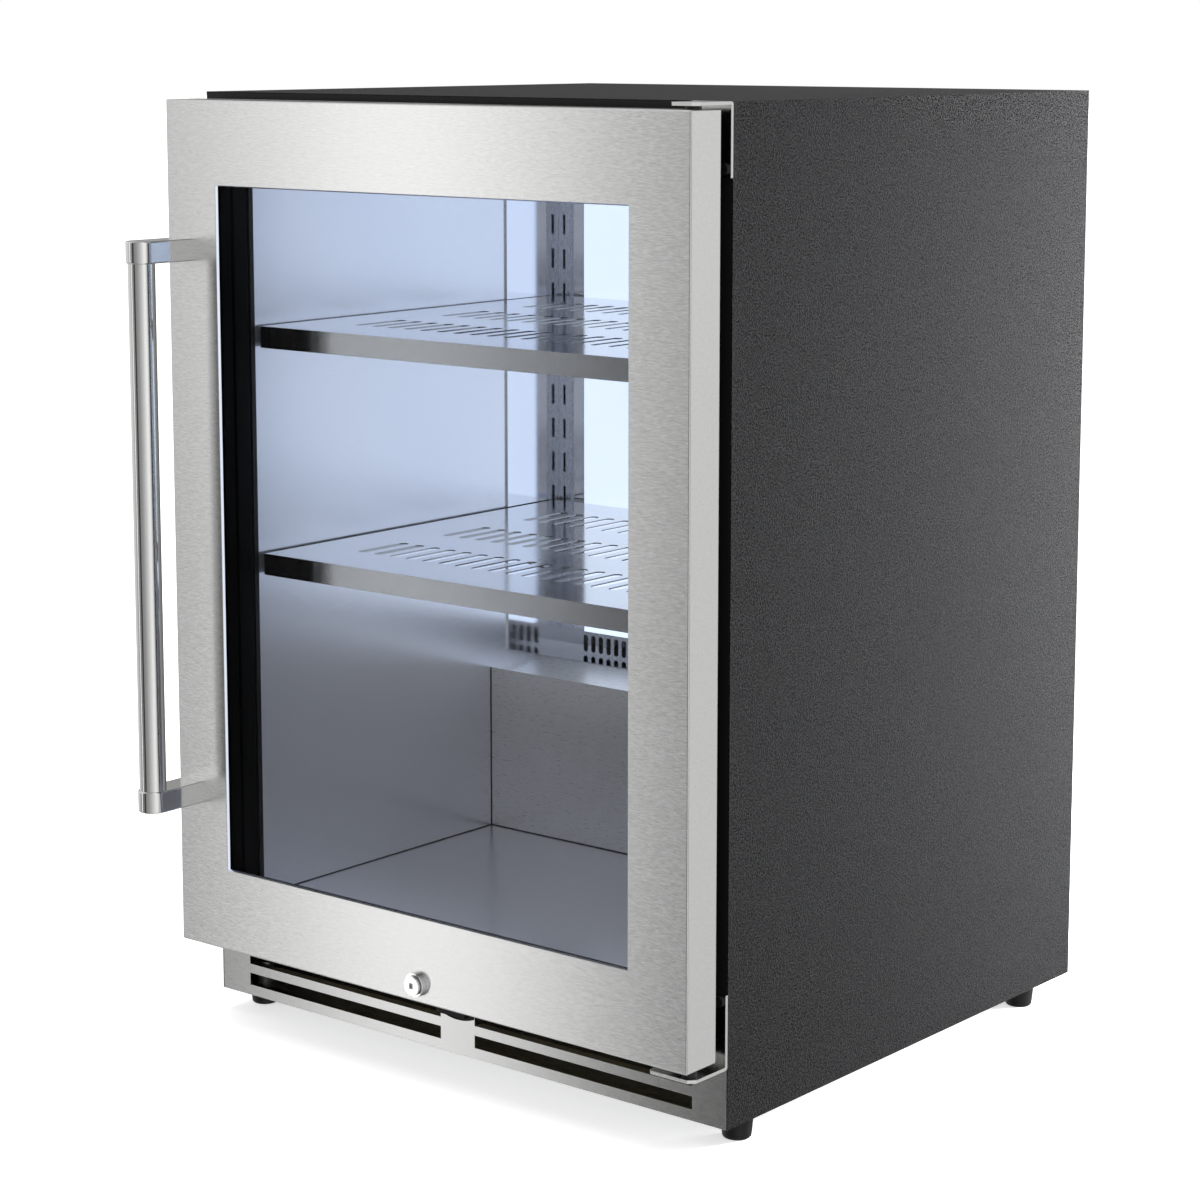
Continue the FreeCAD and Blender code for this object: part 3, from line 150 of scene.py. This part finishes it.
def overhead():
    """One very soft light from above."""
    data = bpy.data.lights.new("overhead", "SUN")
    data.energy = SUN_STRENGTH
    data.angle = SUN_SPREAD
    light = bpy.data.objects.new("overhead", data)
    scene.collection.objects.link(light)
    light.rotation_euler = (-SUN_TILT, SUN_TILT, 0)
    light.visible_glossy = False


def floor():
    """The plain floor; no face mirrors it and it throws no light."""
    mesh = bpy.data.meshes.new("studio_floor")
    shape = bmesh.new()
    bmesh.ops.create_grid(shape, x_segments=2, y_segments=2, size=FLOOR_HALF)
    shape.to_mesh(mesh)
    shape.free()
    plane = bpy.data.objects.new("studio_floor", mesh)
    scene.collection.objects.link(plane)
    plane.visible_glossy = False
    plane.visible_diffuse = False
    return plane


# One light rakes along the side panel from behind, and one fills the lower cabin.
studio_air()
overhead()
softbox("side_rake", (0.78, 0.84, 0.5), (0.303, 0.3, 0.45), 0.3, 1.4, 96)
softbox("cabin_fill", (0, -0.02, 0.42), (0, -0.02, 0.12), 0.44, 0.34, 0.35)


# ---------------------------------------------------------------- materials

class Look:
    """A procedural material under construction: a Principled shader and a few helpers."""

    def __init__(self, name):
        self.material = bpy.data.materials.new(name)
        self.material.use_nodes = True
        self.tree = self.material.node_tree
        self.shader = self.tree.nodes["Principled BSDF"]
        where = self.tree.nodes.new("ShaderNodeTexCoord")
        self.place, self.facing = where.outputs["Object"], where.outputs["Normal"]

    def set(self, **values):
        for socket, value in values.items():
            self.shader.inputs[socket.replace("_", " ")].default_value = value
        return self

    def node(self, kind, **values):
        made = self.tree.nodes.new(kind)
        for key, value in values.items():
            if key in made.inputs:
                made.inputs[key].default_value = value
            else:
                setattr(made, key, value)
        return made

    def link(self, out, into):
        self.tree.links.new(out, into)
        return self

    def noise(self, stretch, detail=3.0, rough=0.6):
        """Noise whose features measure about 1 / stretch metres along each axis."""
        mapping = self.node("ShaderNodeMapping")
        mapping.inputs["Scale"].default_value = stretch
        self.link(self.place, mapping.inputs["Vector"])
        made = self.node("ShaderNodeTexNoise", Scale=1.0, Detail=detail, Roughness=rough)
        self.link(mapping.outputs["Vector"], made.inputs["Vector"])
        return made.outputs["Fac"]

    def ramp(self, value, low, high, start=0.3, end=0.7):
        """Two colours, blended as the value goes from start to end."""
        made = self.node("ShaderNodeValToRGB")
        first, last = made.color_ramp.elements
        first.position, last.position = start, end
        first.color, last.color = (*low, 1), (*high, 1)
        self.link(value, made.inputs["Fac"])
        return made.outputs["Color"]

    def spread(self, value, low, high):
        """A number that runs from low to high over the middle of the noise's range."""
        made = self.node("ShaderNodeMapRange")
        for key, number in (("From Min", 0.3), ("From Max", 0.7), ("To Min", low), ("To Max", high)):
            made.inputs[key].default_value = number
        self.link(value, made.inputs["Value"])
        return made.outputs["Result"]

    def bump(self, value, deep, edge=0.0):
        """Relief as deep as given in metres, on edges rounded to a radius."""
        made = self.node("ShaderNodeBump", Strength=1.0, Distance=deep)
        self.link(value, made.inputs["Height"])
        if edge:
            rounded = self.node("ShaderNodeBevel", Radius=edge)
            self.link(rounded.outputs["Normal"], made.inputs["Normal"])
        self.link(made.outputs["Normal"], self.shader.inputs["Normal"])
        return self

    def colour(self, out):
        return self.link(out, self.shader.inputs["Base Color"])

    def roughness(self, out):
        return self.link(out, self.shader.inputs["Roughness"])


def tone(colour, factor):
    """A colour made lighter or darker."""
    return tuple(min(1.0, channel * factor) for channel in colour)


def brushed(name, colour, rough, along, fine=1.0, depth=0.00002, contrast=0.05, streak=0.0,
            edge=0.0, metal=1.0, painted_side_shade=1.0):
    """Steel with short strokes of grain along one axis; streak spreads reflections across it,
    edge is the radius of the soft light along a sheet's edges, and painted_side_shade is painted
    shade: it darkens the colour of the faces that do not look up."""
    look = Look(name).set(Metallic=metal, Anisotropic=streak, Anisotropic_Rotation=0.25)
    strokes = {"x": (110, 900, 900), "y": (900, 110, 900), "z": (900, 900, 110)}[along]
    grain = look.noise(tuple(s * fine for s in strokes), detail=4, rough=0.65)
    cloud = look.noise((3, 3, 3), detail=2)
    shade = look.ramp(grain, tone(colour, 1 - contrast), tone(colour, 1 + contrast))
    patch = look.ramp(cloud, (0.97,) * 3, (1.0,) * 3)
    both = look.node("ShaderNodeMix", data_type="RGBA", blend_type="MULTIPLY")
    both.inputs["Factor"].default_value = 1
    look.link(shade, both.inputs["A"]).link(patch, both.inputs["B"])
    shaded = both.outputs["Result"]
    # Painted shade: faces that do not look up get a darker colour.
    if painted_side_shade < 1:
        facing = look.node("ShaderNodeSeparateXYZ")
        look.link(look.facing, facing.inputs["Vector"])
        painted_shade_mix = look.node("ShaderNodeMix", data_type="RGBA", blend_type="MULTIPLY")
        painted_shade_mix.inputs["Factor"].default_value = 1
        look.link(shaded, painted_shade_mix.inputs["A"])
        look.link(look.ramp(facing.outputs["Z"], (painted_side_shade,) * 3, (1.0,) * 3, 0.4, 0.9), painted_shade_mix.inputs["B"])
        shaded = painted_shade_mix.outputs["Result"]
    look.colour(shaded)
    look.roughness(look.spread(grain, rough * 0.85, rough * 1.15))
    look.bump(grain, depth, edge=edge)
    return look.material


def coated(name, dark, light, rough, pitch, depth, gloss=0.25):
    """Powder coat or moulded texture: rounded grains of one size."""
    look = Look(name).set(Specular_IOR_Level=gloss)
    grains = look.noise((pitch,) * 3, detail=3, rough=0.6)
    look.colour(look.ramp(grains, dark, light, 0.4, 0.6))
    look.roughness(look.spread(grains, rough - 0.06, rough + 0.06))
    look.bump(grains, depth)
    return look.material


def moulded(name, colour, rough, depth=0.00004, pitch=1400, gloss=0.25):
    """Plastic, rubber or foam of one colour with a fine texture."""
    return coated(name, tone(colour, 0.9), tone(colour, 1.12), rough, pitch, depth, gloss)


MATERIALS = {
    "wrap_paint": coated("wrap_paint", (0.001, 0.001, 0.001), (0.028, 0.028, 0.029),
                         0.45, 700, 0.0005, 0.04),
    "galvanised": brushed("galvanised", (0.5, 0.51, 0.52), 0.42, "z", 0.1, 0.00001, 0.12),
    "door_steel": brushed("door_steel", (0.66, 0.66, 0.655), 0.2, "x", 1.4, 0.000016, 0.1,
                          0.9, edge=0.0008),
    # The grille's steel is darker than the door's: painted shade from the door that overhangs it.
    "grille_steel": brushed("grille_steel", (0.47, 0.47, 0.465), 0.15, "x", streak=0.9, edge=0.0005),
    "handle_steel": brushed("handle_steel", (0.7, 0.7, 0.695), 0.1, "z", 1.0, 0.000004, 0.03),
    "hinge_steel": brushed("hinge_steel", (0.7, 0.7, 0.69), 0.2, "z", edge=0.0006),
    "liner_steel": brushed("liner_steel", (0.8, 0.81, 0.86), 0.24, "y", 1.0, 0.00001, metal=0.8),
    # The shelf's lips get painted shade through painted_side_shade.
    "shelf_steel": brushed("shelf_steel", (0.72, 0.725, 0.745), 0.13, "x", 1.0, 0.000008, 0.03,
                           streak=0.6, edge=0.0005, painted_side_shade=0.45),
    "frame_paint": moulded("frame_paint", (0.012, 0.012, 0.013), 0.4),
    "door_plastic": moulded("door_plastic", (0.003, 0.003, 0.003), 0.5, gloss=0.05),
    "gasket_rubber": moulded("gasket_rubber", (0.004, 0.0045, 0.006), 0.4, gloss=0.3),
    "spacer_bar": moulded("spacer_bar", (0.003, 0.003, 0.003), 0.6, gloss=0.05),
    "lock_chrome": brushed("lock_chrome", (0.8, 0.8, 0.8), 0.1, "x", 1.0, 0.000004, 0.02, edge=0.0012),
    "foot_plastic": moulded("foot_plastic", (0.012, 0.012, 0.012), 0.45),
    "foam": moulded("foam", (0.82, 0.74, 0.5), 0.9, 0.0008, 500),
    "copper_tube": brushed("copper_tube", (0.72, 0.36, 0.2), 0.3, "z", 0.3, 0.00001, 0.1),
    "coil_aluminium": brushed("coil_aluminium", (0.68, 0.69, 0.7), 0.35, "z"),
    "fan_plastic": moulded("fan_plastic", (0.03, 0.03, 0.03), 0.5),
    "compressor_paint": moulded("compressor_paint", (0.015, 0.015, 0.015), 0.25),
    "grommet_rubber": moulded("grommet_rubber", (0.03, 0.03, 0.03), 0.7),
    "tray_plastic": moulded("tray_plastic", (0.2, 0.2, 0.2), 0.5),
    "electronics_plastic": moulded("electronics_plastic", (0.05, 0.05, 0.05), 0.5),
    "control_plastic": moulded("control_plastic", (0.03, 0.03, 0.035), 0.2),
    "nylon": moulded("nylon", (0.02, 0.02, 0.021), 0.35),
    "screw_black": moulded("screw_black", (0.012, 0.012, 0.013), 0.3),
}


def clear_glass():
    """Coated window glass: clear, with a little gloss that grows towards grazing."""
    look = Look("glass")
    tree = look.tree
    tree.nodes.remove(look.shader)
    clear = look.node("ShaderNodeBsdfTransparent", Color=(0.95, 0.955, 0.96, 1))
    gloss = look.node("ShaderNodeBsdfGlossy")
    smear = look.noise((6, 6, 6), detail=4)
    look.link(look.spread(smear, 0.015, 0.06), gloss.inputs["Roughness"])
    edge = look.node("ShaderNodeFresnel", IOR=1.06)
    mix = look.node("ShaderNodeMixShader")
    look.link(edge.outputs["Fac"], mix.inputs["Fac"])
    look.link(clear.outputs["BSDF"], mix.inputs[1])
    look.link(gloss.outputs["BSDF"], mix.inputs[2])
    look.link(mix.outputs["Shader"], tree.nodes["Material Output"].inputs["Surface"])
    return look.material


def lit_diffuser():
    """The rear wall's lit plastic, a little uneven."""
    look = Look("light_diffuser").set(Roughness=0.6)
    cloud = look.noise((5, 5, 2.2), detail=1)
    glow = look.ramp(cloud, (0.72, 0.82, 1.0), (0.78, 0.87, 1.0))
    look.colour(glow)
    look.link(glow, look.shader.inputs["Emission Color"])
    look.shader.inputs["Emission Strength"].default_value = 1.15
    return look.material


def floor_look():
    """Matt and nearly white."""
    look = Look("studio_floor").set(Roughness=0.9, Emission_Color=(1, 1, 1, 1), Emission_Strength=0.58)
    look.colour(look.ramp(look.noise((2, 2, 2)), (0.9, 0.9, 0.9), (0.92, 0.92, 0.92)))
    return look.material


# Sheets of a slot's material whose look differs a little from the rest; some of the difference is painted
# light, as noted at each.
OWN_LOOKS = {
    # The top is the same coat as the sides, given less gloss and a lighter colour: the lighter colour is
    # painted light.
    "top_panel": coated("wrap_paint_top_painted_light", (0.013, 0.013, 0.013), (0.05, 0.05, 0.051),
                        0.6, 640, 0.0001, 0.02),
    "duct_panel": brushed("bright_steel", (0.76, 0.78, 0.84), 0.1, "z", 1.0, 0.000004, 0.02, edge=0.0005),
    # The pilasters' steel is lighter and bluer than the liner's: painted light from the blue cabin lamp.
    "pilasters": brushed("pilaster_steel_painted_light", (0.8, 0.84, 0.97), 0.26, "z", 1.0, 0.00001, edge=0.0005,
                         metal=0.8),
    "liner_step": brushed("step_steel", (0.72, 0.72, 0.73), 0.3, "x", 1.0, 0.00001, metal=0.55),
}

MATERIALS["glass"] = clear_glass()
MATERIALS["light_diffuser"] = lit_diffuser()
floor().data.materials.append(floor_look())

slot_of = {part["node"]: part["material_slot"] for part in frame["record"]["subparts"]}

for name, node in NODES.items():
    for place in node.material_slots:
        place.material = OWN_LOOKS.get(name, MATERIALS[slot_of[name]])


# ---------------------------------------------------------------- pieces

# How far the glass reaches past the window, and how much further it reaches at the sill.
GLASS_LAP, SILL_DROP = 0.011, 0.013
# The width of the window's bevelled edge, and how far behind the skin's face it starts.
TRIM_WIDE, TRIM_BACK = 0.001, 0.0004
# The size of the dark strips in the corners of the cabinet's floor, which are painted shade.
CORNER_SHADE_WIDTH = 0.0011


def made_piece(name, shape, body, material):
    """A piece made from mesh code that rides on a body of the frame."""
    bmesh.ops.recalc_face_normals(shape, faces=shape.faces)
    mesh = bpy.data.meshes.new(name)
    shape.to_mesh(mesh)
    shape.free()
    mesh.materials.append(material)
    piece = bpy.data.objects.new(name, mesh)
    scene.collection.objects.link(piece)
    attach(piece, body)


def window_trim():
    """The bevelled edge that runs round the window, from the skin to the glass; its steel is lighter and
    bluer than the skin's, a painted highlight.
    """
    low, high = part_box("glass_front")
    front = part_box("door_skin")[0].y
    left, right = low.x + GLASS_LAP, high.x - GLASS_LAP
    bottom, top = low.z + GLASS_LAP + SILL_DROP, high.z - GLASS_LAP
    shape = bmesh.new()
    loops = []
    for inset, depth in ((0, front + TRIM_BACK), (0, low.y), (TRIM_WIDE, low.y)):
        corners = ((left + inset, bottom + inset), (right - inset, bottom + inset),
                   (right - inset, top - inset), (left + inset, top - inset))
        loops.append([shape.verts.new((x, depth, z)) for x, z in corners])
    for first, second in zip(loops, loops[1:] + loops[:1]):
        for k in range(4):
            shape.faces.new((first[k], first[k - 1], second[k - 1], second[k]))
    # The edge's light, bluish steel is a painted highlight.
    made_piece("window_trim", shape, "door",
               brushed("edge_painted_highlight", (0.78, 0.84, 0.96), 0.2, "x", 1.0, 0.000004, 0.03))


def painted_corner_shade():
    """Dark strips in the corners where the floor, the walls and the step meet: painted shade."""
    floor_low, floor_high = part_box("liner_floor")
    step_low, step_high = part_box("liner_step")
    left, right = floor_low.x, floor_high.x
    front, back, base, top = floor_low.y, step_low.y, floor_high.z, step_high.z
    shape = bmesh.new()

    def shade_strip(start, end, first, second):
        """A three-sided dark strip along a corner, spreading a little way along two faces."""
        ends = []
        for point in (Vector(start), Vector(end)):
            ends.append([shape.verts.new(point + offset * CORNER_SHADE_WIDTH)
                         for offset in (Vector((0, 0, 0)), Vector(first), Vector(second))])
        shape.faces.new(ends[0])
        shape.faces.new(ends[1][::-1])
        for k in range(3):
            shape.faces.new((ends[0][k], ends[0][k - 1], ends[1][k - 1], ends[1][k]))

    for wall, inward in ((left, 1), (right, -1)):
        shade_strip((wall, front, base), (wall, back, base), (inward, 0, 0), (0, 0, 1))
        shade_strip((wall, back, base), (wall, back, top), (inward, 0, 0), (0, -1, 0))
    shade_strip((left, back, base), (right, back, base), (0, -1, 0), (0, 0, 1))
    # Painted shade: a dark strip put in the floor's corners.
    made_piece("painted_corner_shade", shape, "cabinet",
               moulded("corner_shade_paint", (0.02, 0.02, 0.022), 0.5))


window_trim()
painted_corner_shade()
